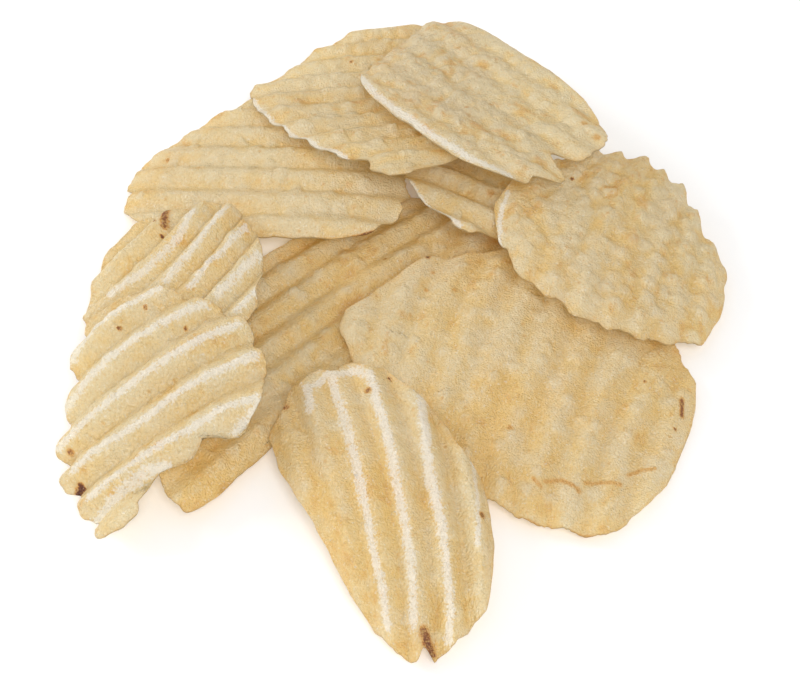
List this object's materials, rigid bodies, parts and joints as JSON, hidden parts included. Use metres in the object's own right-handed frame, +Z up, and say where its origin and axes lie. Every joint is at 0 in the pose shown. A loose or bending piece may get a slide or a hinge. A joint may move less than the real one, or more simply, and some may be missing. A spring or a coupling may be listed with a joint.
{
  "type": "heap of ridged potato crisps",
  "caption": "Loose heap of ridge-cut potato crisps as it lies on a flat surface: thin wavy pale yellow slices leaning on each other.",
  "frame": {"origin": "bottom centre of the heap, on the surface it lies on", "axes": "+Z up; -Y towards the viewer who sees the broad crisp and the front crisp nearest; +X to that viewer's right"},
  "size_m": [0.1088, 0.14, 0.0164],
  "materials": {
    "fried_potato": "dry fried potato, pale yellow with browned flecks and a fine grainy sheen on the ridges"
  },
  "bodies": {
    "root": {"crisp_long": "fried_potato", "crisp_back_left": "fried_potato", "crisp_broad": "fried_potato", "crisp_upper_left": "fried_potato", "crisp_left": "fried_potato", "crisp_front": "fried_potato", "crisp_small": "fried_potato", "crisp_round": "fried_potato", "crisp_rear": "fried_potato", "crisp_top": "fried_potato"}
  },
  "joints": []
}
